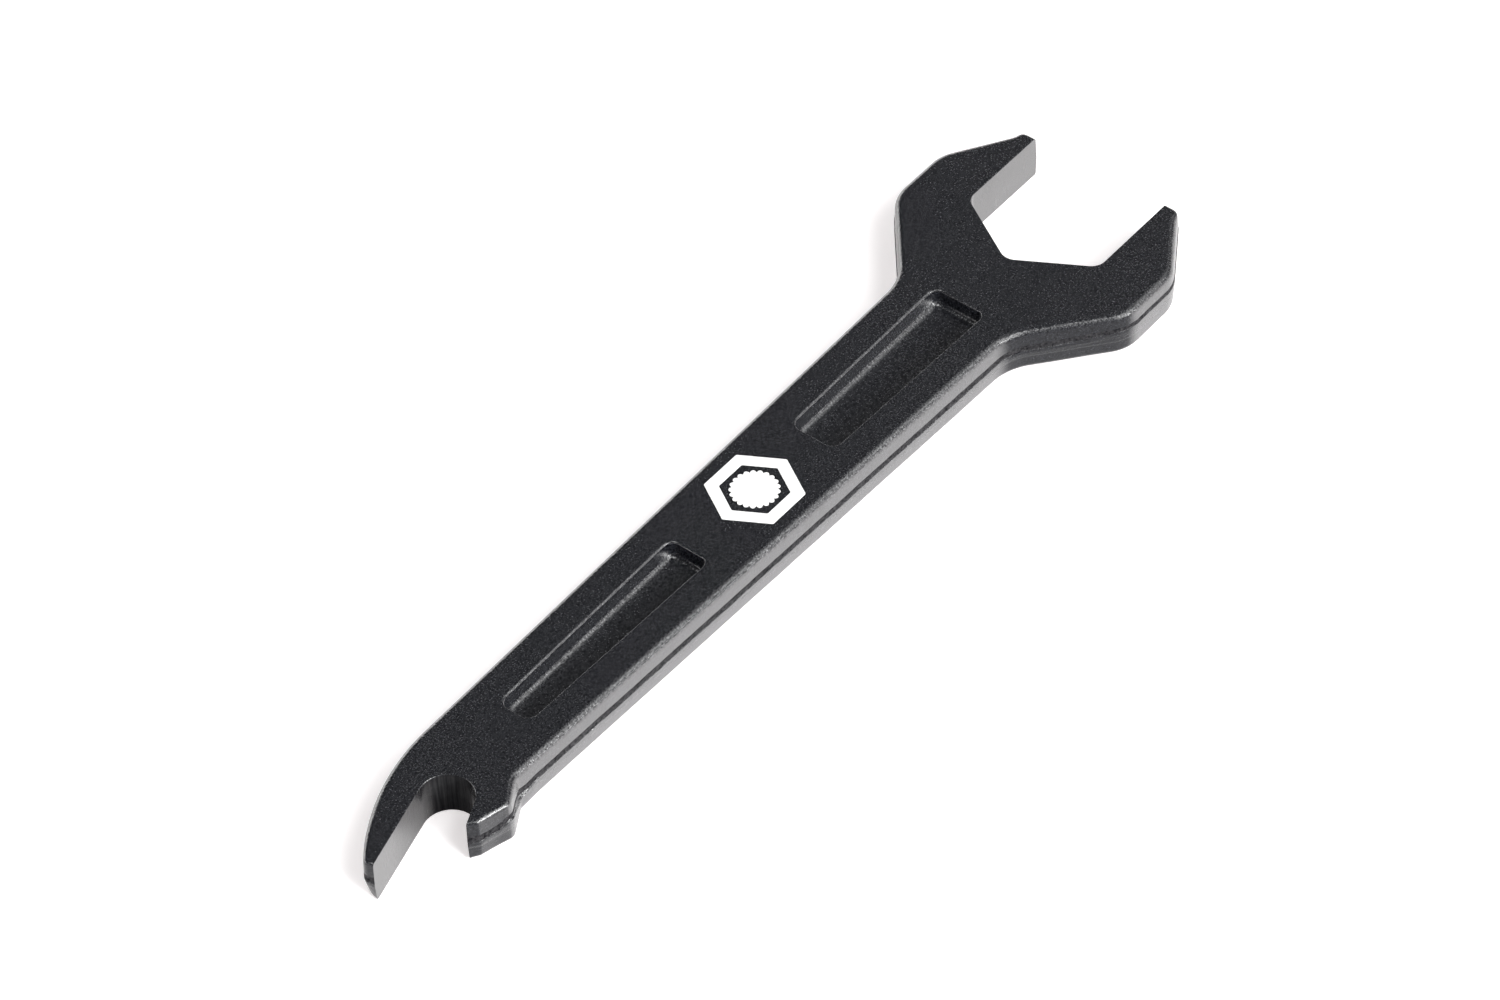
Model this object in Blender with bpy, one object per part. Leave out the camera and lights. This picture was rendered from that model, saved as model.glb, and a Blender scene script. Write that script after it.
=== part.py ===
"""Drop-forged open-end wrench with a claw bottle opener, one printed mark.

The object is one forged and machined steel bar and the ink printed on it.
Frame: metres, +Z up. +X runs along the shank to the wrench jaw, +Y to the
back of the opener claw, Z = 0 is the flat underside. The origin is the
middle of the bounding box in X, the shank centre line in Y, the underside
in Z.

How the steel body is made here, in the order of the real process:
  1. the forging blank, a stack of rings around one outline: rounded edge,
     drafted wall, flash ridge at the parting plane, and the same below;
  2. four forged pockets, two in each broad face;
  3. the machined wrench jaw, straight through and square to the faces;
  4. the machined opener throat, straight through.
"""
import math

import bmesh
import bpy
from mathutils import Vector, geometry

MM = 0.001

# ---------------------------------------------------------------- dimensions
THICKNESS = 6.8            # across the two broad faces
JAW_AF = 22.0              # across the jaw faces: a 22 mm hexagon fits
JAW_CORNER_R = 2.3         # fillet in the back corners of the jaw
JAW_MOUTH_X = 8.85         # end face of the jaws, from the hexagon centre
HEAD_HALF_W = 19.8         # half width over the head
HEAD_HALF_TIP = 13.1       # half width at the end of the jaws
JAW_TIP_R = 1.4            # outer corner at the end of each jaw
HEAD_R = 6.0               # fillets on the outside of the head
NECK_R = 8.5               # fillet between head and shank
HEAD_FRONT_X = -1.5        # corner of the head's front slope
HEAD_REAR_X = -11.55       # corner of the head's rear slope
NECK_X = -24.1             # corner between the rear slope and the shank

SHANK_HALF_AT_HEX = 9.69   # shank half width, produced to the hexagon centre
SHANK_TAPER = 0.0204       # half width lost per mm towards the opener

CLAW_CORNER_X = -134.43          # crossing of shank side and claw tip tangent
CLAW_BACK_R = 31.5               # back of the claw
NOSE_CORNER = (-143.80, -1.20)
NOSE_R = 1.0
NOSE_LEAN = 17.5           # degrees that the blunt nose leans
THROAT_C = (-129.79, -2.50)
THROAT_R = 3.65
CLAW_FACE_SLOPE = 0.28     # inner face of the claw
LIP_FACE_SLOPE = 0.4478    # mouth side of the lip
LIP_END = (-130.60, -8.25)       # corner between the lip's end and its side
LIP_KNEE = (-125.75, -9.50)      # outer corner of the lip
LIP_NECK_X = -121.90             # where the lip leaves the shank side

EDGE_R = 1.0               # rounded forged edge of shank and head
EDGE_R_TIP = 0.45          # at jaw ends, claw nose and lip end
EDGE_R_LIP = 0.65          # along the side of the lip, upper edge
EDGE_R_LIP_UNDER = 0.9     # all round the lip, lower edge
DRAFT = 0.2                # what the wall leans back from the parting plane
FLASH_H = 0.30             # half height of the trimmed flash ridge
FLASH_IN = 0.09            # how far the wall starts inside the ridge

POCKET_DEPTH = 2.15
POCKET_HALF_AT_HEX = 4.9   # half width at the face, produced to the hexagon
POCKET_TAPER = 0.0189      # half width lost per mm towards the opener
POCKET_LEAN = 0.55         # draft of the pocket wall over its depth
POCKET_FLOOR_R = 0.55
POCKET_RIM_R = 0.45
POCKET_FLARE = 0.25        # how far the rim rounding opens the pocket
POCKET_CORNER_R = 1.7
POCKETS = ((-54.5, -22.4), (-114.3, -79.3))    # from x to x, at the face

EMBLEM_X = -66.3           # printed mark, centred on the shank
EMBLEM_AF = 11.6           # hexagon across flats, outside
EMBLEM_LINE = 1.7          # line width of the hexagon
CAP_R = 3.4                # printed crown cap, over its teeth
CAP_TEETH = 21
CAP_TOOTH = 0.42
INK_GAP = 0.02             # primer between steel and ink
INK_T = 0.05

ARC_STEP = 12.0            # degrees per side on a small fillet
EDGE_STEPS = 4             # sides on the rounded edge


# ------------------------------------------------------------------ 2-D tools
def rot(v, deg):
    a = math.radians(deg)
    return (v[0] * math.cos(a) - v[1] * math.sin(a),
            v[0] * math.sin(a) + v[1] * math.cos(a))


def unit(v):
    l = math.hypot(v[0], v[1])
    return (v[0] / l, v[1] / l)


def fillet_outline(corners, step=ARC_STEP):
    """Counter-clockwise outline from (x, y, fillet radius) corners.

    Returns (x, y, nx, ny) with the outward normal of each point, so that an
    offset outline is point + distance * normal."""
    out = []
    n = len(corners)
    for i in range(n):
        p0, p1, p2 = corners[i - 1], corners[i], corners[(i + 1) % n]
        d0 = unit((p1[0] - p0[0], p1[1] - p0[1]))
        d1 = unit((p2[0] - p1[0], p2[1] - p1[1]))
        turn = math.atan2(d0[0] * d1[1] - d0[1] * d1[0],
                          d0[0] * d1[0] + d0[1] * d1[1])
        r = p1[2]
        t = r * math.tan(abs(turn) / 2)
        a = (p1[0] - d0[0] * t, p1[1] - d0[1] * t)
        side = 1.0 if turn > 0 else -1.0
        c = (a[0] - d0[1] * r * side, a[1] + d0[0] * r * side)
        fine = step if r < 12 else step * 0.34
        k = max(2, int(math.ceil(abs(math.degrees(turn)) / fine)))
        for j in range(k + 1):
            ang = math.degrees(turn) * j / k
            nrm = rot((d0[1], -d0[0]), ang)
            out.append((c[0] + nrm[0] * r * side, c[1] + nrm[1] * r * side,
                        nrm[0], nrm[1]))
    return out


def shank_half(x):
    return SHANK_HALF_AT_HEX + SHANK_TAPER * x


def blank_corners():
    """Outline of the forging at the top of its drafted wall."""
    tip, w = HEAD_HALF_TIP, HEAD_HALF_W
    nose = rot((0.0, -1.0), NOSE_LEAN)
    nose_end = (NOSE_CORNER[0] + 3.0 * nose[0], NOSE_CORNER[1] + 3.0 * nose[1])
    lip_dir = unit((-0.75, 0.66))
    lip_in = (LIP_END[0] + 3.6 * lip_dir[0], LIP_END[1] + 3.6 * lip_dir[1])
    return [
        (JAW_MOUTH_X, -tip, JAW_TIP_R),
        (JAW_MOUTH_X, tip, JAW_TIP_R),
        (HEAD_FRONT_X, w, HEAD_R),
        (HEAD_REAR_X, w, HEAD_R),
        (NECK_X, shank_half(NECK_X), NECK_R),
        (CLAW_CORNER_X, shank_half(CLAW_CORNER_X), CLAW_BACK_R),
        (NOSE_CORNER[0], NOSE_CORNER[1], NOSE_R),
        (nose_end[0], nose_end[1], 0.6),
        (lip_in[0], lip_in[1], 0.6),
        (LIP_END[0], LIP_END[1], 1.0),
        (LIP_KNEE[0], LIP_KNEE[1], 1.3),
        (LIP_NECK_X, -shank_half(LIP_NECK_X), 1.6),
        (NECK_X, -shank_half(NECK_X), NECK_R),
        (HEAD_REAR_X, -w, HEAD_R),
        (HEAD_FRONT_X, -w, HEAD_R),
    ]


def smooth(a, b, x):
    t = min(1.0, max(0.0, (x - a) / (b - a)))
    return t * t * (3 - 2 * t)


def edge_radius(x, y, side):
    """The forged edge is full on shank and head and fine at the working tips.

    Below (side -1) the claw keeps its full edge up to the nose, so that the
    blunt nose narrows downwards, and the lip has nearly its full edge too."""
    r = EDGE_R
    r += (EDGE_R_TIP - r) * smooth(7.4, 8.8, x)
    if side > 0:
        r += (0.6 - r) * smooth(-137.0, -143.0, x)
    if x < -141.0:
        r += (EDGE_R_TIP - r) * smooth(-0.4, -1.9, y)
    if y < -3.0 and side > 0:
        r += (EDGE_R_LIP - r) * smooth(-123.0, -126.0, x)
        r += (EDGE_R_TIP - r) * smooth(-129.5, -130.6, x)
    elif y < -3.0:
        r += (EDGE_R_LIP_UNDER - r) * smooth(-123.0, -126.0, x)
    return r


# ------------------------------------------------------------------ 3-D tools
def material(name, rgb, rough, metal, spec=0.5):
    m = bpy.data.materials.new(name)
    m.use_nodes = True
    b = m.node_tree.nodes["Principled BSDF"]
    b.inputs["Base Color"].default_value = (rgb[0], rgb[1], rgb[2], 1.0)
    b.inputs["Roughness"].default_value = rough
    b.inputs["Metallic"].default_value = metal
    b.inputs["Specular IOR Level"].default_value = spec
    m.diffuse_color = (rgb[0], rgb[1], rgb[2], 1.0)
    return m


def mesh_object(name, bm, mat):
    bmesh.ops.recalc_face_normals(bm, faces=bm.faces[:])
    me = bpy.data.meshes.new(name)
    bm.to_mesh(me)
    bm.free()
    ob = bpy.data.objects.new(name, me)
    bpy.context.scene.collection.objects.link(ob)
    if mat is not None:
        me.materials.append(mat)
    return ob


def add_ring(bm, pts):
    return [bm.verts.new((p[0] * MM, p[1] * MM, p[2] * MM)) for p in pts]


def bridge(bm, a, b):
    n = len(a)
    for i in range(n):
        j = (i + 1) % n
        bm.faces.new((a[i], a[j], b[j]))
        bm.faces.new((a[i], b[j], b[i]))


def cap_with_holes(bm, loops):
    """Flat face between an outer ring and the rings of its holes."""
    polys = [[Vector((v.co.x, v.co.y, 0.0)) for v in loop] for loop in loops]
    flat = [v for loop in loops for v in loop]
    for tri in geometry.tessellate_polygon(polys):
        bm.faces.new([flat[i] for i in tri])


def prism(name, outline, z0, z1):
    bm = bmesh.new()
    lo = add_ring(bm, [(p[0], p[1], z0) for p in outline])
    hi = add_ring(bm, [(p[0], p[1], z1) for p in outline])
    bridge(bm, lo, hi)
    cap_with_holes(bm, [lo])
    cap_with_holes(bm, [hi])
    ob = mesh_object(name, bm, None)
    ob.hide_render = True
    ob.display_type = "WIRE"
    ob.hide_set(True)
    return ob


# ---------------------------------------------------------------- the forging
def wall_profile(r):
    """(inset, height above the parting plane) up the wall and over the edge.

    Insets are measured from the flash ridge, the widest place."""
    half = THICKNESS / 2
    top = half - r
    prof = [(0.0, 0.0), (FLASH_IN, FLASH_H),
            (FLASH_IN + (DRAFT - FLASH_IN) * 0.5, FLASH_H + (top - FLASH_H) * 0.5)]
    for k in range(EDGE_STEPS + 1):
        a = math.radians(90.0 * k / EDGE_STEPS)
        prof.append((DRAFT + r * (1 - math.cos(a)), top + r * math.sin(a)))
    return prof


def pocket_corners(x0, x1):
    h0 = POCKET_HALF_AT_HEX + POCKET_TAPER * x0
    h1 = POCKET_HALF_AT_HEX + POCKET_TAPER * x1
    r = POCKET_CORNER_R
    return [(x1, -h1, r), (x1, h1, r), (x0, h0, r), (x0, -h0, r)]


def pocket_profile():
    """(inset, depth) from the broad face down to the pocket floor."""
    prof = []
    for k in range(3):
        a = math.radians(35 + 55 * k / 2)
        prof.append((POCKET_FLARE * (1 - math.sin(a)) / (1 - math.sin(math.radians(35))) - POCKET_FLARE,
                     POCKET_RIM_R * (math.cos(math.radians(35)) - math.cos(a))
                     / math.cos(math.radians(35))))
    last = prof[-1]
    depth_wall = POCKET_DEPTH - POCKET_FLOOR_R
    prof.append((last[0] + POCKET_LEAN, depth_wall))
    for k in range(1, 4):
        a = math.radians(90.0 * k / 3)
        prof.append((last[0] + POCKET_LEAN + POCKET_FLOOR_R * (1 - math.cos(a)),
                     depth_wall + POCKET_FLOOR_R * math.sin(a)))
    return [(i + POCKET_FLARE, d) for i, d in prof]


def forged_body(x_shift, mat):
    bm = bmesh.new()
    base = fillet_outline(blank_corners())
    half = THICKNESS / 2
    steps = len(wall_profile(1.0))

    def ring(k, side):
        pts = []
        for x, y, nx, ny in base:
            inset, h = wall_profile(edge_radius(x, y, side))[k]
            off = DRAFT - inset
            pts.append((x + nx * off + x_shift, y + ny * off, half + side * h))
        return pts

    rings = [add_ring(bm, ring(k, -1)) for k in range(steps - 1, 0, -1)]
    rings += [add_ring(bm, ring(k, 1)) for k in range(steps)]
    for a, b in zip(rings, rings[1:]):
        bridge(bm, a, b)

    for loop, z_face, side in ((rings[-1], THICKNESS, 1), (rings[0], 0.0, -1)):
        holes = [loop]
        for x0, x1 in POCKETS:
            outline = [(x + x_shift, y, nx, ny) for x, y, nx, ny
                       in fillet_outline(pocket_corners(x0, x1), 18.0)]
            prof = pocket_profile()
            prings = [add_ring(bm, [(x - nx * i, y - ny * i, z_face - side * d)
                                    for x, y, nx, ny in outline]) for i, d in prof]
            for a, b in zip(prings, prings[1:]):
                bridge(bm, a, b)
            cap_with_holes(bm, [prings[-1]])
            holes.append(prings[0])
        cap_with_holes(bm, holes)

    body = mesh_object("forged_body", bm, mat)

    def cut(cutter):
        m = body.modifiers.new(cutter.name, "BOOLEAN")
        m.operation = "DIFFERENCE"
        m.object = cutter
        m.solver = "EXACT"

    # wrench jaw: two parallel faces and the hexagon's two back faces
    af = JAW_AF / 2
    apex = JAW_AF / math.sqrt(3)
    jaw = fillet_outline([(x_shift + 20.0, -af, 0.0), (x_shift + 20.0, af, 0.0),
                          (x_shift - apex / 2, af, JAW_CORNER_R),
                          (x_shift - apex, 0.0, JAW_CORNER_R),
                          (x_shift - apex / 2, -af, JAW_CORNER_R)])
    cut(prism("jaw_cutter", drop_doubles(jaw), -2.0, THICKNESS + 2.0))

    # opener throat: a round seat that opens to the claw face and the lip face
    cx, cy = THROAT_C[0] + x_shift, THROAT_C[1]
    a_claw = 90.0 + math.degrees(math.atan(CLAW_FACE_SLOPE))
    a_lip = -90.0 + math.degrees(math.atan(LIP_FACE_SLOPE))
    pts = []
    k = 26
    for j in range(k + 1):
        a = math.radians(a_lip + (a_claw - a_lip) * j / k)
        pts.append((cx + THROAT_R * math.cos(a), cy + THROAT_R * math.sin(a)))
    run = 25.0
    end_claw = unit((-1.0, -CLAW_FACE_SLOPE))
    end_lip = unit((-1.0, -LIP_FACE_SLOPE))
    pts.append((pts[-1][0] + run * end_claw[0], pts[-1][1] + run * end_claw[1]))
    pts.append((pts[0][0] + run * end_lip[0], pts[0][1] + run * end_lip[1]))
    cut(prism("throat_cutter", pts, -2.0, THICKNESS + 2.0))
    return body


def drop_doubles(outline):
    pts = []
    for p in outline:
        if not pts or math.hypot(p[0] - pts[-1][0], p[1] - pts[-1][1]) > 1e-4:
            pts.append((p[0], p[1]))
    if math.hypot(pts[0][0] - pts[-1][0], pts[0][1] - pts[-1][1]) <= 1e-4:
        pts.pop()
    return pts


# ------------------------------------------------------------- printed emblem
def ink_hexagon(x_shift, mat):
    z0 = THICKNESS + INK_GAP
    bm = bmesh.new()

    def hexagon(af):
        r = af / math.sqrt(3)
        outline = fillet_outline(
            [(EMBLEM_X + x_shift + r * math.cos(math.radians(60 * i)),
              r * math.sin(math.radians(60 * i)), 0.25) for i in range(6)], 20.0)
        return [(p[0], p[1]) for p in outline]

    outer, inner = hexagon(EMBLEM_AF), hexagon(EMBLEM_AF - 2 * EMBLEM_LINE)
    o0 = add_ring(bm, [(x, y, z0) for x, y in outer])
    o1 = add_ring(bm, [(x, y, z0 + INK_T) for x, y in outer])
    i0 = add_ring(bm, [(x, y, z0) for x, y in inner])
    i1 = add_ring(bm, [(x, y, z0 + INK_T) for x, y in inner])
    for a, b in ((o0, o1), (o1, i1), (i1, i0), (i0, o0)):
        bridge(bm, a, b)
    return mesh_object("print_hexagon", bm, mat)


def ink_cap(x_shift, mat):
    """Crown cap seen from above: a disc with rounded teeth."""
    z0 = THICKNESS + INK_GAP
    bm = bmesh.new()
    pts = []
    per = 8
    for i in range(CAP_TEETH * per):
        a = 2 * math.pi * i / (CAP_TEETH * per)
        r = CAP_R - CAP_TOOTH * (1 - abs(math.sin(CAP_TEETH * a / 2)))
        pts.append((EMBLEM_X + x_shift + r * math.cos(a), r * math.sin(a)))
    lo = add_ring(bm, [(x, y, z0) for x, y in pts])
    hi = add_ring(bm, [(x, y, z0 + INK_T) for x, y in pts])
    bridge(bm, lo, hi)
    cap_with_holes(bm, [lo])
    cap_with_holes(bm, [hi])
    return mesh_object("print_crown_cap", bm, mat)


def main():
    for ob in list(bpy.data.objects):
        bpy.data.objects.remove(ob, do_unlink=True)

    ridge = [x + nx * DRAFT for x, y, nx, ny in fillet_outline(blank_corners())]
    x_shift = -(min(ridge) + max(ridge)) / 2

    steel = material("black_coated_steel", (0.022, 0.022, 0.024), 0.55, 0.0)
    ink = material("white_ink", (0.88, 0.88, 0.87), 0.6, 0.0)

    body = forged_body(x_shift, steel)
    body.data.shade_smooth()
    body.data.set_sharp_from_angle(angle=math.radians(35))
    ink_hexagon(x_shift, ink)
    ink_cap(x_shift, ink)


main()
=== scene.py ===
import math

import bmesh
import bpy
import numpy as np
from mathutils import Matrix, Vector, geometry, noise


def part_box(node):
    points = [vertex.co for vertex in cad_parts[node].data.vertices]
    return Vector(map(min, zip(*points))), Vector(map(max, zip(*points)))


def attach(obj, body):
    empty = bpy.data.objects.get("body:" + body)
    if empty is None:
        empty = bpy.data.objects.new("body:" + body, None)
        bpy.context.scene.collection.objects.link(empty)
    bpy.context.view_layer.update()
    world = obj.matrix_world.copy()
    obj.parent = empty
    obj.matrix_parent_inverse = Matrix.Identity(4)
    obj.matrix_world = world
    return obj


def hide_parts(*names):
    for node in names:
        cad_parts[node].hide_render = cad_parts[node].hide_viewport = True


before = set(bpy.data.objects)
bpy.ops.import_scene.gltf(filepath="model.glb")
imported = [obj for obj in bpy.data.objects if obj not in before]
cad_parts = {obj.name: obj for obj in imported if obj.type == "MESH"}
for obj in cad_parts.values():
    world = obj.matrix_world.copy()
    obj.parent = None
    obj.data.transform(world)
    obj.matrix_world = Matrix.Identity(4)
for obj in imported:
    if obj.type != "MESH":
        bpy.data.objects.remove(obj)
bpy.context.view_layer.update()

# ---------------------------------------------------------------------------
# Looks of a drop-forged, black-coated wrench with a claw bottle opener.
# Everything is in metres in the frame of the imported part. The outline below is
# the part's own sketch, in millimetres from the jaw's hexagon centre, placed by
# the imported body's box. The visual body is a finer mesh of the same forging:
# real edge rounding, flash land, die line, pocket fillets, machined jaw and
# throat with broken edges. The ink film is its own finer mesh too.
# ---------------------------------------------------------------------------
MM = 0.001
BODY_LO, BODY_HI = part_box("forged_body")

T = (BODY_HI[2] - BODY_LO[2]) / MM          # thickness over the broad faces
Z0 = BODY_LO[2] / MM
DRAFT = 0.2
JAW_MOUTH_X = 8.85
XS = BODY_HI[0] / MM - (JAW_MOUTH_X + DRAFT)   # hexagon centre in the frame

JAW_AF = 22.0
JAW_CORNER_R = 2.3
HEAD_HALF_W, HEAD_HALF_TIP = 19.8, 13.1
JAW_TIP_R, HEAD_R, NECK_R = 1.4, 6.0, 8.5
HEAD_FRONT_X, HEAD_REAR_X, NECK_X = -1.5, -11.55, -24.1
SHANK_HALF_AT_HEX, SHANK_TAPER = 9.69, 0.0204
CLAW_CORNER_X, CLAW_BACK_R = -134.43, 31.5
NOSE_CORNER, NOSE_R, NOSE_LEAN = (-143.80, -1.20), 1.0, 17.5
THROAT_C, THROAT_R = (-129.79, -2.50), 3.65
CLAW_FACE_SLOPE, LIP_FACE_SLOPE = 0.28, 0.4478
LIP_END, LIP_KNEE, LIP_NECK_X = (-130.60, -8.25), (-125.75, -9.50), -121.90
POCKET_HALF_AT_HEX, POCKET_TAPER = 4.9, 0.0189
POCKET_CORNER_R = 1.7
POCKETS = ((-54.5, -22.4), (-114.3, -79.3))
EMBLEM_X, EMBLEM_AF, EMBLEM_LINE = -66.3, 11.6, 1.7
CAP_R, CAP_TEETH, CAP_TOOTH = 3.4, 21, 0.42

EDGE_R, EDGE_R_TIP, EDGE_R_LIP, EDGE_R_LIP_UNDER = 1.0, 0.45, 0.65, 0.9


# ------------------------------------------------------------------ 2-D tools
def unit(v):
    l = math.hypot(v[0], v[1])
    return (v[0] / l, v[1] / l)


def rot(v, deg):
    a = math.radians(deg)
    return (v[0] * math.cos(a) - v[1] * math.sin(a),
            v[0] * math.sin(a) + v[1] * math.cos(a))


def smooth(a, b, x):
    t = min(1.0, max(0.0, (x - a) / (b - a)))
    return t * t * (3 - 2 * t)


def bump1(x, c, w):
    """A smooth hill of height 1 at c, half width w."""
    t = abs(x - c) / w
    return 0.0 if t >= 1 else (1 - t * t) ** 2


def n1(x, seed=0.0):
    """Smooth noise in -1..1 along a line."""
    return noise.noise(Vector((x, seed * 17.31, seed * 3.7 + 0.5))) * 1.6


def fillet_outline(corners, chord=0.25, deg=4.0, run=0.6):
    """Counter-clockwise outline (x, y, nx, ny) with arcs and divided runs."""
    arcs = []
    n = len(corners)
    for i in range(n):
        p0, p1, p2 = corners[i - 1], corners[i], corners[(i + 1) % n]
        d0 = unit((p1[0] - p0[0], p1[1] - p0[1]))
        d1 = unit((p2[0] - p1[0], p2[1] - p1[1]))
        turn = math.atan2(d0[0] * d1[1] - d0[1] * d1[0],
                          d0[0] * d1[0] + d0[1] * d1[1])
        r = p1[2]
        t = r * math.tan(abs(turn) / 2)
        a = (p1[0] - d0[0] * t, p1[1] - d0[1] * t)
        side = 1.0 if turn > 0 else -1.0
        c = (a[0] - d0[1] * r * side, a[1] + d0[0] * r * side)
        k = max(3, int(math.ceil(max(abs(turn) * r / chord,
                                     abs(math.degrees(turn)) / deg * 0.6))))
        pts = []
        for j in range(k + 1):
            nrm = rot((d0[1], -d0[0]), math.degrees(turn) * j / k)
            pts.append((c[0] + nrm[0] * r * side, c[1] + nrm[1] * r * side,
                        nrm[0], nrm[1]))
        arcs.append(pts)
    out = []
    for i in range(n):
        a, b = arcs[i], arcs[(i + 1) % n]
        out += a
        p, q = a[-1], b[0]
        length = math.hypot(q[0] - p[0], q[1] - p[1])
        k = int(length / run)
        for j in range(1, k):
            f = j / k
            out.append((p[0] + (q[0] - p[0]) * f, p[1] + (q[1] - p[1]) * f,
                        p[2], p[3]))
    clean = []
    for p in out:
        if not clean or math.hypot(p[0] - clean[-1][0], p[1] - clean[-1][1]) > 1e-3:
            clean.append(p)
    return clean


def shank_half(x):
    return SHANK_HALF_AT_HEX + SHANK_TAPER * x


def blank_corners():
    tip, w = HEAD_HALF_TIP, HEAD_HALF_W
    nose_d = rot((0.0, -1.0), NOSE_LEAN)
    nose_end = (NOSE_CORNER[0] + 3.0 * nose_d[0], NOSE_CORNER[1] + 3.0 * nose_d[1])
    lip_dir = unit((-0.75, 0.66))
    lip_in = (LIP_END[0] + 3.6 * lip_dir[0], LIP_END[1] + 3.6 * lip_dir[1])
    return [
        (JAW_MOUTH_X, -tip, JAW_TIP_R),
        (JAW_MOUTH_X, tip, JAW_TIP_R),
        (HEAD_FRONT_X, w, HEAD_R),
        (HEAD_REAR_X, w, HEAD_R),
        (NECK_X, shank_half(NECK_X), NECK_R),
        (CLAW_CORNER_X, shank_half(CLAW_CORNER_X), CLAW_BACK_R),
        (NOSE_CORNER[0], NOSE_CORNER[1], NOSE_R),
        (nose_end[0], nose_end[1], 0.6),
        (lip_in[0], lip_in[1], 0.6),
        (LIP_END[0], LIP_END[1], 1.0),
        (LIP_KNEE[0], LIP_KNEE[1], 1.3),
        (LIP_NECK_X, -shank_half(LIP_NECK_X), 1.6),
        (NECK_X, -shank_half(NECK_X), NECK_R),
        (HEAD_REAR_X, -w, HEAD_R),
        (HEAD_FRONT_X, -w, HEAD_R),
    ]


def edge_radius(x, y, side):
    r = EDGE_R
    r += (EDGE_R_TIP - r) * smooth(7.4, 8.8, x)
    r += (0.6 - r) * smooth(-137.0, -143.0, x)
    if x < -141.0:
        r += (EDGE_R_TIP - r) * smooth(-0.4, -1.9, y)
    if y < -3.0 and side > 0:
        r += (EDGE_R_LIP - r) * smooth(-123.0, -126.0, x)
        r += (EDGE_R_TIP - r) * smooth(-129.5, -130.6, x)
    elif y < -3.0:
        r += (EDGE_R_LIP_UNDER - r) * smooth(-123.0, -126.0, x)
        r += (EDGE_R_TIP - r) * smooth(-130.9, -132.0, x)
    return r


# ------------------------------------------------------------------ 3-D tools
def add_ring(bm, pts):
    return [bm.verts.new(((p[0] + XS) * MM, p[1] * MM, (p[2] + Z0) * MM)) for p in pts]


def bridge(bm, a, b, mat=0):
    n = len(a)
    for i in range(n):
        j = (i + 1) % n
        f = bm.faces.new((a[i], a[j], b[j], b[i]))
        f.material_index = mat


def inside(poly, x, y):
    """Even-odd test of many points against one closed outline."""
    px, py = poly[:, 0], poly[:, 1]
    qx, qy = np.roll(px, -1), np.roll(py, -1)
    hit = np.zeros(len(x), bool)
    for ax, ay, bx, by in zip(px, py, qx, qy):
        if ay == by:
            continue
        c = (ay > y) != (by > y)
        hit ^= c & (x < (bx - ax) * (y - ay) / (by - ay) + ax)
    return hit


def near_loop(loops, x, y, gap):
    keep = np.ones(len(x), bool)
    for lp in loops:
        for ax, ay in lp:
            keep &= (x - ax) ** 2 + (y - ay) ** 2 > gap * gap
    return keep


def fill(bm, loops, step, z, mat=0):
    """Even triangles over a flat region between an outer ring and its holes."""
    flat = [v for lp in loops for v in lp]
    lp2 = [np.array([[v.co.x / MM - XS, v.co.y / MM] for v in lp]) for lp in loops]
    lo, hi = lp2[0].min(0), lp2[0].max(0)
    xs = np.arange(lo[0] + step * 0.5, hi[0], step)
    ys = np.arange(lo[1] + step * 0.43, hi[1], step * 0.866)
    gx, gy = np.meshgrid(xs, ys)
    gx[1::2] += step * 0.5
    gx, gy = gx.ravel(), gy.ravel()
    ok = inside(lp2[0], gx, gy)
    for h in lp2[1:]:
        ok &= ~inside(h, gx, gy)
    gx, gy = gx[ok], gy[ok]
    ok = near_loop(lp2, gx, gy, step * 0.6)
    gx, gy = gx[ok], gy[ok]
    pts = [Vector((v.co.x / MM - XS, v.co.y / MM)) for v in flat]
    pts += [Vector((float(a), float(b))) for a, b in zip(gx, gy)]
    edges, o = [], 0
    for lp in loops:
        n = len(lp)
        edges += [(o + i, o + (i + 1) % n) for i in range(n)]
        o += n
    res = geometry.delaunay_2d_cdt(pts, edges, [], 0, 1e-6)
    verts, faces, orig = res[0], res[2], res[3]
    made, where = [], {}
    for i, v in enumerate(verts):
        src = [k for k in orig[i] if k < len(flat)]
        for k in src:
            where[k] = i
        if src:
            made.append(flat[src[0]])
        else:
            made.append(bm.verts.new(((v.x + XS) * MM, v.y * MM, (z + Z0) * MM)))
    rim = {frozenset((where[i], where[j])) for i, j in edges}
    side = {}
    for n, f in enumerate(faces):
        for i in range(3):
            side.setdefault(frozenset((f[i], f[(i + 1) % 3])), []).append(n)
    depth = {}
    queue = []
    for e, fs in side.items():                 # from the hull inwards
        if len(fs) == 1 and fs[0] not in depth:
            depth[fs[0]] = 1 if e in rim else 0
            queue.append(fs[0])
    while queue:
        n = queue.pop()
        f = faces[n]
        for i in range(3):
            e = frozenset((f[i], f[(i + 1) % 3]))
            for m in side[e]:
                if m not in depth:
                    depth[m] = depth[n] ^ (e in rim)
                    queue.append(m)
    for n, f in enumerate(faces):
        if depth.get(n) == 1:
            g = bm.faces.new([made[i] for i in f])
            g.material_index = mat


def new_object(name, bm, mats, sharp=34.0):
    bmesh.ops.recalc_face_normals(bm, faces=bm.faces[:])
    me = bpy.data.meshes.new(name)
    bm.to_mesh(me)
    bm.free()
    for m in mats:
        me.materials.append(m)
    ob = bpy.data.objects.new(name, me)
    bpy.context.scene.collection.objects.link(ob)
    me.shade_smooth()
    me.set_sharp_from_angle(angle=math.radians(sharp))
    return ob


# ------------------------------------------------------------------ materials
COAT_ROUGH, COAT_IOR = 0.23, 2.0


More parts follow.
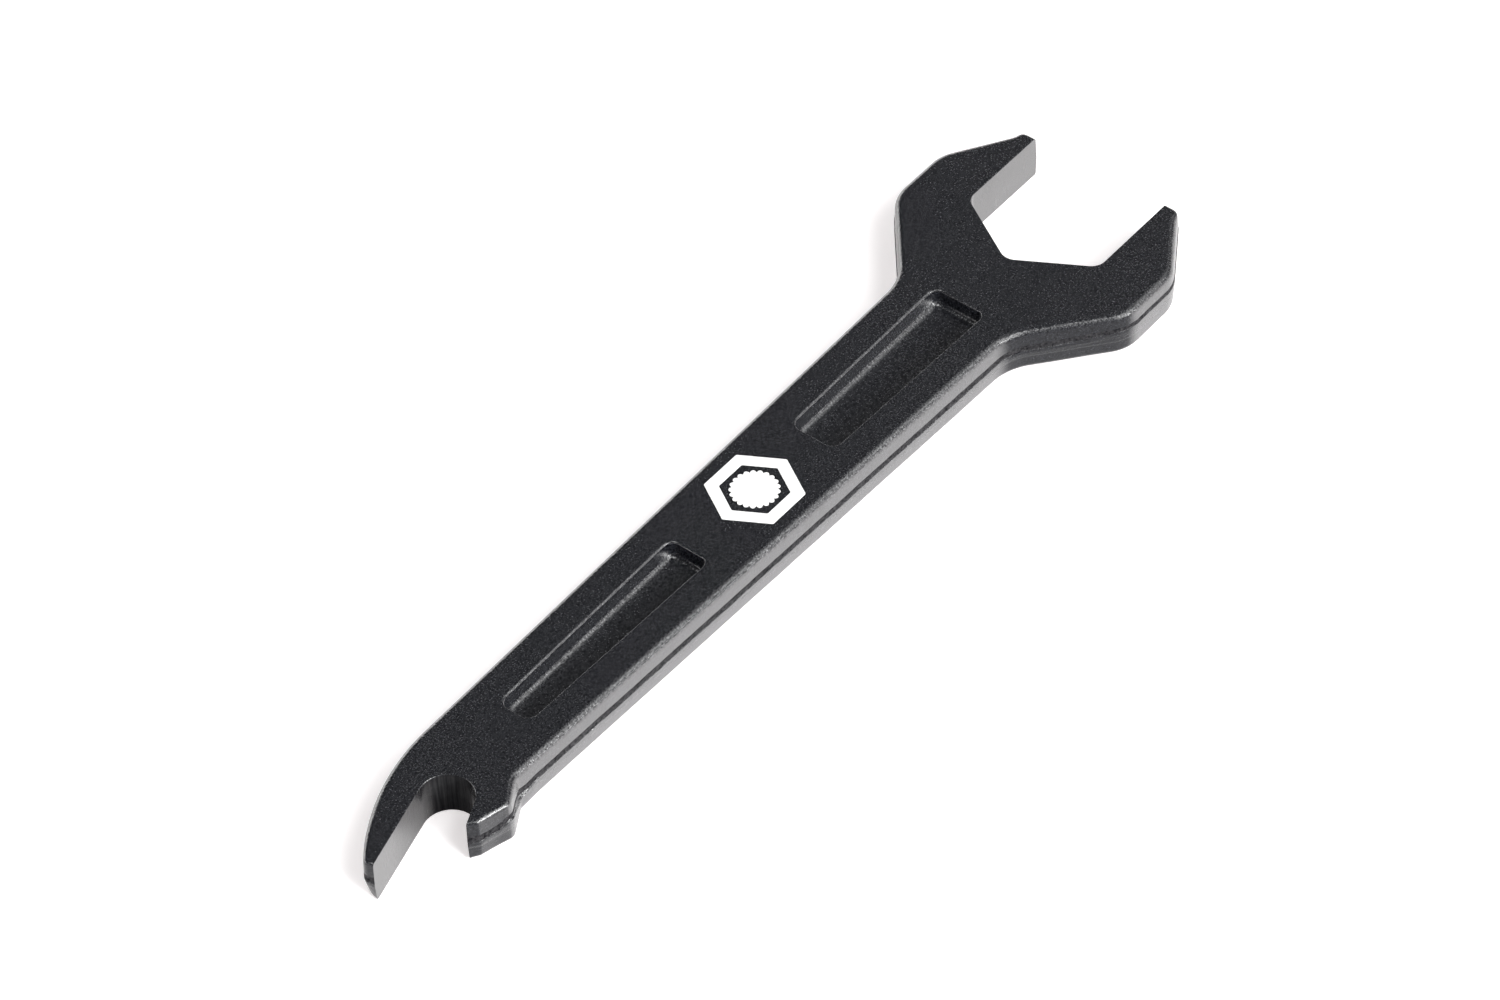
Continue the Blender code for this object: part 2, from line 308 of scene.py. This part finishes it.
def nodes_of(name):
    m = bpy.data.materials.new(name)
    m.use_nodes = True
    nt = m.node_tree
    return m, nt, nt.nodes["Principled BSDF"]


def link(nt, a, b):
    nt.links.new(a, b)


def texco(nt):
    return nt.nodes.new("ShaderNodeTexCoord").outputs["Object"]


def mapping(nt, vec, scale):
    n = nt.nodes.new("ShaderNodeMapping")
    n.inputs["Scale"].default_value = scale
    link(nt, vec, n.inputs["Vector"])
    return n.outputs["Vector"]


def noise_tex(nt, vec, scale, detail=2.0, rough=0.5, distortion=0.0):
    n = nt.nodes.new("ShaderNodeTexNoise")
    n.inputs["Scale"].default_value = scale
    n.inputs["Detail"].default_value = detail
    n.inputs["Roughness"].default_value = rough
    n.inputs["Distortion"].default_value = distortion
    link(nt, vec, n.inputs["Vector"])
    return n.outputs["Fac"]


def ramp(nt, fac, stops):
    n = nt.nodes.new("ShaderNodeValToRGB")
    el = n.color_ramp.elements
    while len(el) < len(stops):
        el.new(0.5)
    for e, (p, c) in zip(el, stops):
        e.position = p
        e.color = (c, c, c, 1.0) if isinstance(c, float) else (c[0], c[1], c[2], 1.0)
    link(nt, fac, n.inputs["Fac"])
    return n.outputs["Color"]


def remap(nt, fac, a, b, c, d):
    n = nt.nodes.new("ShaderNodeMapRange")
    for k, v in zip(("From Min", "From Max", "To Min", "To Max"), (a, b, c, d)):
        n.inputs[k].default_value = v
    link(nt, fac, n.inputs["Value"])
    return n.outputs["Result"]


def bump(nt, height, dist, strength=1.0, base=None):
    n = nt.nodes.new("ShaderNodeBump")
    n.inputs["Strength"].default_value = strength
    n.inputs["Distance"].default_value = dist
    link(nt, height, n.inputs["Height"])
    if base is not None:
        link(nt, base, n.inputs["Normal"])
    return n.outputs["Normal"]


def painted_facing_sheen(nt, low, high):
    """Painted sheen and shade on the upright walls by the way they face: the ones
    toward the jaw's mouth and the near side get more specular level (painted
    reflection), the ones behind get less (painted shade). Level faces keep 1."""
    geo = nt.nodes.new("ShaderNodeNewGeometry").outputs["Normal"]
    dot = nt.nodes.new("ShaderNodeVectorMath")
    dot.operation = "DOT_PRODUCT"
    link(nt, geo, dot.inputs[0])
    dot.inputs[1].default_value = (0.55, -0.83, 0.0)
    sep = nt.nodes.new("ShaderNodeSeparateXYZ")
    link(nt, geo, sep.inputs[0])

    def math_node(op, a, b=None):
        n = nt.nodes.new("ShaderNodeMath")
        n.operation = op
        for i, q in enumerate((a, b)):
            if q is None:
                continue
            if isinstance(q, float):
                n.inputs[i].default_value = q
            else:
                link(nt, q, n.inputs[i])
        return n.outputs[0]

    flat = math_node("SQRT", math_node("MAXIMUM", math_node(
        "SUBTRACT", 1.0, math_node("MULTIPLY", sep.outputs["Z"], sep.outputs["Z"])), 0.003))
    r = nt.nodes.new("ShaderNodeMapRange")
    r.interpolation_type = "SMOOTHSTEP"
    for k, v in zip(("From Min", "From Max", "To Min", "To Max"), (0.58, 0.83, low - 1, high - 1)):
        r.inputs[k].default_value = v
    facing = math_node("DIVIDE", dot.outputs["Value"], flat)
    link(nt, facing, r.inputs["Value"])
    tilt = math_node("ABSOLUTE", sep.outputs["Z"])
    up = remap(nt, tilt, 0.35, 0.88, 1.0, 0.0)
    # painted shade: on the walls that face sideways, the upper edge keeps the reduced sheen too
    wide = math_node("SUBTRACT", remap(nt, tilt, 0.70, 0.98, 1.0, 0.0), up)
    side = math_node("MULTIPLY", remap(nt, facing, 0.05, 0.30, 0.0, 1.0),
                     remap(nt, facing, 0.62, 0.76, 1.0, 0.0))
    up = math_node("ADD", up, math_node("MULTIPLY", wide, side))
    up = math_node("MULTIPLY", up, remap(nt, facing, -0.95, -0.70, 0.0, 1.0))
    mul = nt.nodes.new("ShaderNodeMath")
    mul.operation = "MULTIPLY_ADD"
    link(nt, r.outputs["Result"], mul.inputs[0])
    link(nt, up, mul.inputs[1])
    # painted highlight: the rounded feet and rims that look towards the opener end get extra sheen
    foot_highlight = math_node("MULTIPLY", remap(nt, tilt, 0.50, 0.78, 0.0, 1.0),
                     remap(nt, tilt, 0.965, 0.995, 1.0, 0.0))
    foot_highlight = math_node("MULTIPLY", foot_highlight, math_node(
        "MULTIPLY", remap(nt, facing, -0.85, -0.70, 0.0, 1.0),
        remap(nt, facing, -0.40, -0.15, 1.0, 0.0)))
    link(nt, math_node("ADD", math_node("MULTIPLY", foot_highlight, 0.4), 1.0), mul.inputs[2])
    half = nt.nodes.new("ShaderNodeMath")
    half.operation = "MULTIPLY"
    link(nt, mul.outputs[0], half.inputs[0])
    half.inputs[1].default_value = 0.5
    return half.outputs[0]


def coat_material():
    """Fine-grained satin black coat on the as-forged skin."""
    m, nt, b = nodes_of("black_coat_forged")
    v = texco(nt)
    grain = noise_tex(nt, v, 4000.0, 2.0, 0.55)
    lump = noise_tex(nt, v, 1600.0, 2.0, 0.5)
    cloud = noise_tex(nt, v, 45.0, 3.0, 0.55)
    link(nt, ramp(nt, grain, [(0.32, (0.0010, 0.0012, 0.0024)), (0.70, (0.0158, 0.0170, 0.0210))]),
         b.inputs["Base Color"])
    mix = nt.nodes.new("ShaderNodeMath")
    mix.operation = "ADD"
    link(nt, remap(nt, grain, 0.3, 0.7, -0.05, 0.05), mix.inputs[0])
    link(nt, remap(nt, cloud, 0.3, 0.7, COAT_ROUGH - 0.025, COAT_ROUGH + 0.025), mix.inputs[1])
    link(nt, mix.outputs[0], b.inputs["Roughness"])
    b.inputs["IOR"].default_value = COAT_IOR
    # blasted grain: sparkles on the level faces and the edges, not on the walls
    geo = nt.nodes.new("ShaderNodeNewGeometry").outputs["Normal"]
    gz = nt.nodes.new("ShaderNodeSeparateXYZ")
    link(nt, geo, gz.inputs[0])
    az = nt.nodes.new("ShaderNodeMath")
    az.operation = "ABSOLUTE"
    link(nt, gz.outputs["Z"], az.inputs[0])
    amp = remap(nt, az.outputs[0], 0.15, 0.75, 0.10, 0.66)
    spark = nt.nodes.new("ShaderNodeMath")
    spark.operation = "MULTIPLY_ADD"
    link(nt, remap(nt, grain, 0.30, 0.70, -1.0, 1.0), spark.inputs[0])
    link(nt, amp, spark.inputs[1])
    spark.inputs[2].default_value = 1.0
    # specular level: the grain's sparkle times the painted facing sheen and shade of the walls
    level = nt.nodes.new("ShaderNodeMath")
    level.operation = "MULTIPLY"
    link(nt, spark.outputs[0], level.inputs[0])
    link(nt, painted_facing_sheen(nt, 0.20, 1.50), level.inputs[1])
    link(nt, level.outputs[0], b.inputs["Specular IOR Level"])
    # the trimmed flash land just under the die line is rougher than the skin
    sep = nt.nodes.new("ShaderNodeSeparateXYZ")
    link(nt, v, sep.inputs[0])
    lo = remap(nt, sep.outputs["Z"], (Z0 + 2.35) * MM, (Z0 + 2.55) * MM, 0.0, 1.0)
    hi = remap(nt, sep.outputs["Z"], (Z0 + 3.25) * MM, (Z0 + 3.45) * MM, 1.0, 0.0)
    band = nt.nodes.new("ShaderNodeMath")
    band.operation = "MULTIPLY"
    link(nt, lo, band.inputs[0])
    link(nt, hi, band.inputs[1])
    torn = noise_tex(nt, v, 2300.0, 4.0, 0.7)
    rough_h = nt.nodes.new("ShaderNodeMath")
    rough_h.operation = "MULTIPLY"
    link(nt, torn, rough_h.inputs[0])
    link(nt, band.outputs[0], rough_h.inputs[1])
    n = bump(nt, lump, 0.000030, 0.6)
    n = bump(nt, grain, 0.000045, 0.85, n)
    n = bump(nt, rough_h.outputs[0], 0.00012, 0.7, n)
    link(nt, n, b.inputs["Normal"])
    return m


def machined_material(name, rough, streak):
    """The same coat over machined faces: smoother, with faint cutter marks."""
    m, nt, b = nodes_of(name)
    v = texco(nt)
    lines = noise_tex(nt, mapping(nt, v, (3200.0, 3200.0, streak)), 1.0, 3.0, 0.6)
    cloud = noise_tex(nt, v, 260.0, 3.0, 0.55)
    fine = noise_tex(nt, v, 5200.0, 2.0, 0.5)
    marks = nt.nodes.new("ShaderNodeMath")
    marks.operation = "MULTIPLY"
    link(nt, lines, marks.inputs[0])
    link(nt, remap(nt, cloud, 0.3, 0.7, 0.75, 1.25), marks.inputs[1])
    link(nt, ramp(nt, marks.outputs[0], [(0.30, (0.003, 0.003, 0.004)), (0.72, (0.024, 0.024, 0.025))]),
         b.inputs["Base Color"])
    add = nt.nodes.new("ShaderNodeMath")
    add.operation = "ADD"
    link(nt, remap(nt, cloud, 0.3, 0.7, rough - 0.03, rough + 0.04), add.inputs[0])
    link(nt, remap(nt, lines, 0.3, 0.7, -0.03, 0.03), add.inputs[1])
    link(nt, add.outputs[0], b.inputs["Roughness"])
    b.inputs["IOR"].default_value = 2.0
    # painted shade: the seat's sheen dies away towards the back of the throat, standing in for the dark
    # throat it reflects; the painted facing sheen is multiplied in
    off = nt.nodes.new("ShaderNodeVectorMath")
    off.operation = "MULTIPLY_ADD"
    link(nt, v, off.inputs[0])
    off.inputs[1].default_value = (1.0, 1.0, 0.0)
    off.inputs[2].default_value = (-(THROAT_C[0] + XS) * MM, -THROAT_C[1] * MM, 0.0)
    span = nt.nodes.new("ShaderNodeVectorMath")
    span.operation = "LENGTH"
    link(nt, off.outputs["Vector"], span.inputs[0])
    painted_throat_shade = nt.nodes.new("ShaderNodeMath")
    painted_throat_shade.operation = "MULTIPLY"
    link(nt, remap(nt, span.outputs["Value"], 0.0036, 0.0092, 0.26, 1.04), painted_throat_shade.inputs[0])
    link(nt, painted_facing_sheen(nt, 0.05, 1.36), painted_throat_shade.inputs[1])
    link(nt, painted_throat_shade.outputs[0], b.inputs["Specular IOR Level"])
    n = bump(nt, lines, 0.000004, 0.5)
    n = bump(nt, fine, 0.000003, 0.4, n)
    link(nt, n, b.inputs["Normal"])
    return m


def seam_shade_material():
    """Painted shade: a dark, dull, scaly skin down inside the die line's groove, standing in for the
    shade in the crease.
    """
    m, nt, b = nodes_of("black_coat_seam_shade")
    v = texco(nt)
    torn = noise_tex(nt, v, 2600.0, 4.0, 0.7)
    link(nt, ramp(nt, torn, [(0.35, (0.002, 0.002, 0.003)), (0.7, (0.030, 0.029, 0.032))]),
         b.inputs["Base Color"])
    link(nt, remap(nt, torn, 0.3, 0.7, 0.75, 0.55), b.inputs["Roughness"])
    link(nt, remap(nt, torn, 0.35, 0.65, 0.04, 0.28), b.inputs["Specular IOR Level"])
    link(nt, bump(nt, torn, 0.00010, 0.7), b.inputs["Normal"])
    return m


def ink_material():
    m, nt, b = nodes_of("white_print_ink")
    v = texco(nt)
    grain = noise_tex(nt, v, 4200.0, 3.0, 0.62)
    cloud = noise_tex(nt, v, 700.0, 2.0, 0.5)
    link(nt, ramp(nt, grain, [(0.25, (0.80, 0.80, 0.79)), (0.6, (0.93, 0.93, 0.92))]),
         b.inputs["Base Color"])
    link(nt, remap(nt, cloud, 0.3, 0.7, 0.42, 0.55), b.inputs["Roughness"])
    link(nt, bump(nt, grain, 0.000010, 0.5), b.inputs["Normal"])
    return m


def floor_material():
    m, nt, b = nodes_of("studio_paper")
    v = texco(nt)
    c = noise_tex(nt, v, 60.0, 2.0, 0.5)
    link(nt, ramp(nt, c, [(0.3, (0.90, 0.90, 0.90)), (0.7, (0.915, 0.915, 0.915))]),
         b.inputs["Base Color"])
    b.inputs["Roughness"].default_value = 0.8
    b.inputs["Specular IOR Level"].default_value = 0.2
    b.inputs["Emission Color"].default_value = (1.0, 0.94, 0.94, 1.0)
    b.inputs["Emission Strength"].default_value = 0.43
    return m


# ----------------------------------------------------------- the visual forging
def die_line(x, y, s):
    """Height of the die line, depth and half height of its groove, and how far
    the lower half stands proud of the upper one, along the outline."""
    near = y < 0
    z = 3.32
    if near:
        z += 0.28 * smooth(-30.0, -22.0, x) + 0.55 * smooth(-22.0, -12.0, x)
    else:
        z += 0.15 * smooth(-26.0, -12.0, x)
    z += 0.06 * n1(s * 0.16, 1) + 0.05 * n1(s * 0.9, 2)
    depth = 0.05 + 0.035 * n1(s * 0.35, 3) + 0.025 * n1(s * 1.3, 4)
    half = 0.05
    step = 0.03 + 0.02 * n1(s * 0.2, 5)
    if near and x < -112:
        # the fold where the lip's root was pinched
        z -= 0.45 * bump1(x, -120.9, 2.6)
        z += 0.75 * bump1(x, -125.4, 3.0)
        fold = smooth(-117.5, -121.8, x) * smooth(-128.6, -125.2, x)
        depth += 0.42 * fold
        half += (0.30 + 0.45 * bump1(x, -123.3, 2.4)) * fold
        step += 0.12 * fold
    return z, max(0.02, depth), half, max(0.0, step)


def profile(x, y, s):
    """(offset from the ridge, height) from the underside round to the top."""
    rt, rb = edge_radius(x, y, 1), edge_radius(x, y, -1)
    zp, groove, gh, step = die_line(x, y, s)
    land = 0.72 + 0.14 * n1(s * 0.25, 6)
    pr = []
    k = 9
    for j in range(k + 1):
        a = math.radians(90.0 * j / k)
        pr.append((-DRAFT - rb * (1 - math.sin(a)), rb * (1 - math.cos(a)), step))
    zg = zp - gh                                   # lower lip of the groove
    zl = max(rb + 0.25, zg - land)
    for f in (0.4, 0.8):
        pr.append((-DRAFT + 0.13 * f, rb + (zl - rb) * f, step))
    pr.append((-0.075, zl - 0.03, step))
    for f, c in ((0.08, 7), (0.40, 8), (0.72, 9), (0.92, 10)):
        pr.append((-0.034 + 0.020 * n1(s * (1.7 + 0.1 * c), c), zl + (zg - zl) * f, step))
    pr.append((-0.045, zg - 0.005, step))
    for f, g in ((-0.75, 0.55), (-0.3, 0.95), (0.3, 1.0), (0.75, 0.6)):
        pr.append((-0.05 - groove * g, zp + gh * f, step * (0.5 - 0.5 * f)))
    pr.append((-0.048, zp + gh + 0.02, 0.0))
    zu = zp + gh + 0.09
    top = T - rt
    for f in (0.0, 0.35, 0.7):
        pr.append((-0.045 + (-DRAFT + 0.045) * f, zu + (top - zu) * f, 0.0))
    for j in range(k + 1):
        a = math.radians(90.0 * j / k)
        pr.append((-DRAFT - rt * (1 - math.cos(a)), top + rt * math.sin(a), 0.0))
    return pr


NOSE_REF = (THROAT_C[1] + THROAT_R * math.cos(math.atan(CLAW_FACE_SLOPE))
            - CLAW_FACE_SLOPE * (THROAT_C[0] - THROAT_R * math.sin(math.atan(CLAW_FACE_SLOPE))))


def ease_nose(ob):
    """The claw's tip is blunted below: its lower corner runs back."""
    for v in ob.data.vertices:
        x, y, z = v.co.x / MM - XS, v.co.y / MM, v.co.z / MM - Z0
        if x < -137.5:
            f = max(0.0, 1 - z / 4.6)
            gap = (y - x * CLAW_FACE_SLOPE - NOSE_REF) * 0.963
            d = 1.7 * smooth(-137.5, -143.0, x) * f * f * min(1.0, max(0.0, gap / 2.9))
            v.co.x += 0.963 * d * MM
            v.co.y += 0.270 * d * MM


def pocket_loops(x0, x1):
    h0 = POCKET_HALF_AT_HEX + POCKET_TAPER * x0
    h1 = POCKET_HALF_AT_HEX + POCKET_TAPER * x1
    r = POCKET_CORNER_R
    return fillet_outline([(x1, -h1, r), (x1, h1, r), (x0, h0, r), (x0, -h0, r)],
                          0.16, 6.0, 0.9)


POCKET_DEPTH, POCKET_LEAN = 2.15, 0.50
FLOOR_R = 0.90


def pocket_profile(nx, ny):
    """(inset, depth) round the rim, down the wall and round into the floor.
    The die drew the rim soft on the far side and crisp on the near one."""
    rim = 0.13 + 0.25 * smooth(-0.35, 0.45, 0.45 * nx + 0.85 * ny)
    lean = math.atan2(POCKET_LEAN, POCKET_DEPTH)
    wall = math.pi / 2 - lean                      # wall's slope from level
    pr = [(-0.30, 0.0), (-0.12, 0.0)]
    k = 7
    for j in range(k + 1):
        a = wall * j / k
        pr.append((rim * math.sin(a), rim * (1 - math.cos(a))))
    ix, iz = pr[-1]
    fz = POCKET_DEPTH - FLOOR_R * (1 - math.cos(wall))
    fx = ix + (fz - iz) * math.tan(lean)
    for f in (0.33, 0.67):
        pr.append((ix + (fx - ix) * f, iz + (fz - iz) * f))
    for j in range(k + 1):
        a = wall * (1 - j / k)
        pr.append((fx + FLOOR_R * (math.sin(wall) - math.sin(a)),
                   fz + FLOOR_R * (math.cos(a) - math.cos(wall))))
    pr.append((pr[-1][0] + 0.1, POCKET_DEPTH))
    return pr


def prism_cutter(name, outline, chamfer):
    """Closed straight cutter that also breaks the edges it leaves."""
    prof = [(2.5 + chamfer, -2.5), (chamfer, 0.0), (0.0, chamfer),
            (0.0, T * 0.5), (0.0, T - chamfer), (chamfer, T), (2.5 + chamfer, T + 2.5)]
    bm = bmesh.new()
    rings = []
    for off, z in prof:
        rings.append(add_ring(bm, [(x + nx * off, y + ny * off, z)
                                   for x, y, nx, ny in outline]))
    for i, (a, b) in enumerate(zip(rings, rings[1:])):
        bridge(bm, a, b, 1 if i in (2, 3) else 0)
    for r in (rings[0], rings[-1]):
        bmesh.ops.triangulate(bm, faces=[bm.faces.new(r)])
    return bm


def jaw_outline():
    af, apex = JAW_AF / 2, JAW_AF / math.sqrt(3)
    return fillet_outline([(20.0, -af, 0.4), (20.0, af, 0.4),
                           (-apex / 2, af, JAW_CORNER_R), (-apex, 0.0, JAW_CORNER_R),
                           (-apex / 2, -af, JAW_CORNER_R)], 0.2, 4.0, 1.2)


def throat_outline():
    cx, cy = THROAT_C
    a0 = -90.0 + math.degrees(math.atan(LIP_FACE_SLOPE))
    a1 = 90.0 + math.degrees(math.atan(CLAW_FACE_SLOPE))
    pts = []
    k = 60
    for j in range(k + 1):
        a = math.radians(a0 + (a1 - a0) * j / k)
        pts.append((cx + THROAT_R * math.cos(a), cy + THROAT_R * math.sin(a),
                    math.cos(a), math.sin(a)))
    ec, el = unit((-1.0, -CLAW_FACE_SLOPE)), unit((-1.0, -LIP_FACE_SLOPE))
    nc, nl = pts[-1][2:], pts[0][2:]
    a, b = pts[-1], pts[0]
    run = 22.0
    up = [(a[0] + ec[0] * run * f, a[1] + ec[1] * run * f, nc[0], nc[1])
          for f in [i / 22 for i in range(1, 23)]]
    dn = [(b[0] + el[0] * run * f, b[1] + el[1] * run * f, nl[0], nl[1])
          for f in [i / 22 for i in range(22, 0, -1)]]
    return pts + up + dn


def build_body(mats):
    base = fillet_outline(blank_corners(), 0.25, 3.0, 0.55)
    s, acc = [], 0.0
    for i, p in enumerate(base):
        if i:
            acc += math.hypot(p[0] - base[i - 1][0], p[1] - base[i - 1][1])
        s.append(acc)
    prof = [profile(p[0], p[1], t) for p, t in zip(base, s)]
    bm = bmesh.new()
    rings = []
    for k in range(len(prof[0])):
        pts = []
        for (x, y, nx, ny), pr in zip(base, prof):
            off = min(DRAFT + pr[k][0] + pr[k][2], DRAFT - 0.004)
            pts.append((x + nx * off, y + ny * off, pr[k][1]))
        rings.append(add_ring(bm, pts))
    groove = range(19, 24)                          # the faces inside the die line
    for i, (a, b) in enumerate(zip(rings, rings[1:])):
        # the groove faces take the seam material: painted shade in the die line's crease
        bridge(bm, a, b, 2 if i in groove else 0)
    for ring, z, side in ((rings[-1], T, 1), (rings[0], 0.0, -1)):
        rt = [edge_radius(p[0], p[1], side) for p in base]
        inner = add_ring(bm, [(x + nx * (-r - 0.06), y + ny * (-r - 0.06), z)
                              for (x, y, nx, ny), r in zip(base, rt)])
        bridge(bm, ring, inner)
        loops = [inner]
        for x0, x1 in POCKETS:
            outline = pocket_loops(x0, x1)
            prs = [pocket_profile(p[2], p[3]) for p in outline]
            pr_rings = [add_ring(bm, [(x - nx * pr[k][0], y - ny * pr[k][0],
                                       z - side * pr[k][1])
                                      for (x, y, nx, ny), pr in zip(outline, prs)])
                        for k in range(len(prs[0]))]
            for a, b in zip(pr_rings, pr_rings[1:]):
                bridge(bm, a, b)
            fill(bm, [pr_rings[-1]], 1.1, z - side * POCKET_DEPTH)
            loops.append(pr_rings[0])
        fill(bm, loops, 1.1, z)
    body = new_object("forged_body_finish", bm, mats)
    for name, outline, chamfer in (("jaw", jaw_outline(), 0.05),
                                   ("throat", throat_outline(), 0.06)):
        cutter = new_object(name + "_cutter", prism_cutter(name, outline, chamfer), mats)
        mod = body.modifiers.new(name, "BOOLEAN")
        mod.operation = "DIFFERENCE"
        mod.object = cutter
        mod.solver = "EXACT"
        deps = bpy.context.evaluated_depsgraph_get()
        me = bpy.data.meshes.new_from_object(body.evaluated_get(deps))
        old = body.data
        body.modifiers.clear()
        body.data = me
        bpy.data.meshes.remove(old)
        bpy.data.objects.remove(cutter)
    ease_nose(body)
    me = body.data
    me.name = "forged_body_finish"
    me.shade_smooth()
    me.set_sharp_from_angle(angle=math.radians(34))
    return body


# ----------------------------------------------------------------- the print
def ink_piece(name, loops, z0, z1, mat, step):
    bm = bmesh.new()
    edge = 0.03
    tops, bots = [], []
    for i, lp in enumerate(loops):
        sgn = 1.0 if i == 0 else -1.0
        def ring(off, z):
            return add_ring(bm, [(x - nx * off * sgn, y - ny * off * sgn, z)
                                 for x, y, nx, ny in lp])
        r = [ring(0.0, z0), ring(0.0, z0 + (z1 - z0) * 0.55), ring(edge * 0.35, z1 - 0.004),
             ring(edge, z1)]
        for a, b in zip(r, r[1:]):
            bridge(bm, a, b)
        bots.append(r[0])
        tops.append(r[-1])
    fill(bm, tops, step, z1)
    fill(bm, bots, step, z0)
    return new_object(name, bm, [mat], 50.0)


def hexagon_loop(af, seed):
    r = af / math.sqrt(3)
    pts = fillet_outline([(EMBLEM_X + r * math.cos(math.radians(60 * i)),
                           r * math.sin(math.radians(60 * i)), 0.32) for i in range(6)],
                         0.06, 10.0, 0.14)
    out = []
    for i, (x, y, nx, ny) in enumerate(pts):
        d = 0.012 * n1(i * 0.7, seed)
        out.append((x + nx * d - nx * 0.012, y + ny * d - ny * 0.012, nx, ny))
    return out


def cap_loop():
    pts = []
    n = CAP_TEETH * 14
    for i in range(n):
        a = 2 * math.pi * i / n
        r = CAP_R - CAP_TOOTH * (1 - abs(math.sin(CAP_TEETH * a / 2)) ** 0.8)
        r += 0.008 * n1(i * 0.6, 31) - 0.008
        pts.append((EMBLEM_X + r * math.cos(a), r * math.sin(a), math.cos(a), math.sin(a)))
    return pts


# ------------------------------------------------------------------- assembly
coat = coat_material()
seam_shade = seam_shade_material()
cut = machined_material("black_coat_machined", 0.24, 90.0)
ink = ink_material()

body = build_body([coat, cut, seam_shade])
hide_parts("forged_body")
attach(body, "root")

ink_lo, ink_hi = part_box("print_hexagon")
iz0, iz1 = ink_lo[2] / MM - Z0, ink_hi[2] / MM - Z0
ring_piece = ink_piece("print_hexagon_finish",
                       [hexagon_loop(EMBLEM_AF, 21),
                        hexagon_loop(EMBLEM_AF - 2 * EMBLEM_LINE, 22)],
                       iz0, iz1, ink, 0.45)
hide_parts("print_hexagon")
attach(ring_piece, "root")

cap_piece = ink_piece("print_crown_cap_finish", [cap_loop()], iz0, iz1, ink, 0.4)
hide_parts("print_crown_cap")
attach(cap_piece, "root")


# --------------------------------------------------------------- plain studio
def studio_floor():
    """Pale sheet that is flat under the object and rises gently far away."""
    bm = bmesh.new()
    prof = [(0.0, 0.0), (0.25, 0.0), (0.6, 0.0), (1.0, 0.0), (1.35, 0.02),
            (1.6, 0.09), (1.78, 0.22), (1.86, 0.40), (1.88, 0.60)]
    n = 72
    rings = []
    for r, z in prof[1:]:
        rings.append([bm.verts.new((r * math.cos(2 * math.pi * i / n),
                                    r * math.sin(2 * math.pi * i / n), z - 0.00004))
                      for i in range(n)])
    c = bm.verts.new((0, 0, -0.00004))
    for i in range(n):
        bm.faces.new((c, rings[0][i], rings[0][(i + 1) % n]))
    for a, b in zip(rings, rings[1:]):
        for i in range(n):
            j = (i + 1) % n
            bm.faces.new((a[i], a[j], b[j], b[i]))
    ob = new_object("studio_sheet", bm, [floor_material()], 60.0)
    return ob


def soft(name, az, el, power):
    """A far, wide, soft light at an azimuth (from +X) and elevation."""
    l = bpy.data.lights.new(name, "SUN")
    l.angle = math.radians(28.0)
    l.energy = power
    o = bpy.data.objects.new(name, l)
    a, e = math.radians(az), math.radians(el)
    p = Vector((math.cos(a) * math.cos(e), math.sin(a) * math.cos(e), math.sin(e)))
    o.location = p * 2.0
    o.rotation_euler = p.to_track_quat("Z", "Y").to_euler()
    bpy.context.scene.collection.objects.link(o)
    return o


floor = studio_floor()

soft("key_front", 270.0, 25.0, 4.28)
soft("key_front_high", 270.0, 50.0, 1.45)
soft("key_front_left", 240.0, 25.0, 0.45)
soft("fill_right", 315.0, 50.0, 0.40)
soft("fill_right_low", 300.0, 25.0, 0.17)
soft("fill_jaw_end", 0.0, 50.0, 0.18)
soft("top_left", 180.0, 72.0, 0.77)
soft("far_glow", 45.0, 49.0, 0.022)

world = bpy.data.worlds.new("studio_world")
bpy.context.scene.world = world
world.use_nodes = True
wt = world.node_tree
sep = wt.nodes.new("ShaderNodeSeparateXYZ")
wt.links.new(wt.nodes.new("ShaderNodeTexCoord").outputs["Generated"], sep.inputs[0])
sky = wt.nodes.new("ShaderNodeValToRGB")
el = sky.color_ramp.elements
while len(el) < 4:
    el.new(0.5)
for e, (p, c) in zip(el, ((0.0, 0.02), (0.30, 0.02), (0.60, 0.015), (1.0, 0.01))):
    e.position = p
    e.color = (c * 0.97, c * 0.98, c, 1.0)
wt.links.new(sep.outputs["Z"], sky.inputs["Fac"])
wt.links.new(sky.outputs["Color"], wt.nodes["Background"].inputs["Color"])
wt.nodes["Background"].inputs["Strength"].default_value = 1.0

scene = bpy.context.scene
scene.view_settings.view_transform = "Standard"
scene.view_settings.look = "None"
scene.view_settings.exposure = 0.0
scene.view_settings.gamma = 1.0

# camera: where the object was seen from, in the sketch's own axes
cam_data = bpy.data.cameras.new("camera")
cam_data.sensor_fit = "HORIZONTAL"
cam_data.sensor_width = 36.0
cam_data.lens = 36.0 * 5366.0 / 1500.0
cam_data.shift_x = -0.5 / 1500.0
cam_data.shift_y = 0.5 / 1500.0
cam_data.clip_start = 0.05
cam_data.clip_end = 20.0
cam = bpy.data.objects.new("camera", cam_data)
right = Vector((0.62905, -0.77654, -0.03588))
forward = Vector((0.51702, 0.45240, -0.72666))
right = (right - forward * right.dot(forward) / forward.length_squared).normalized()
forward.normalize()
up = right.cross(forward)
rotm = Matrix((right, up, -forward)).transposed()
cam.matrix_world = Matrix.Translation(Vector(((-426.60 + XS) * MM, -314.46 * MM,
                                              (510.58 + Z0) * MM))) @ rotm.to_4x4()
bpy.context.scene.collection.objects.link(cam)
scene.camera = cam
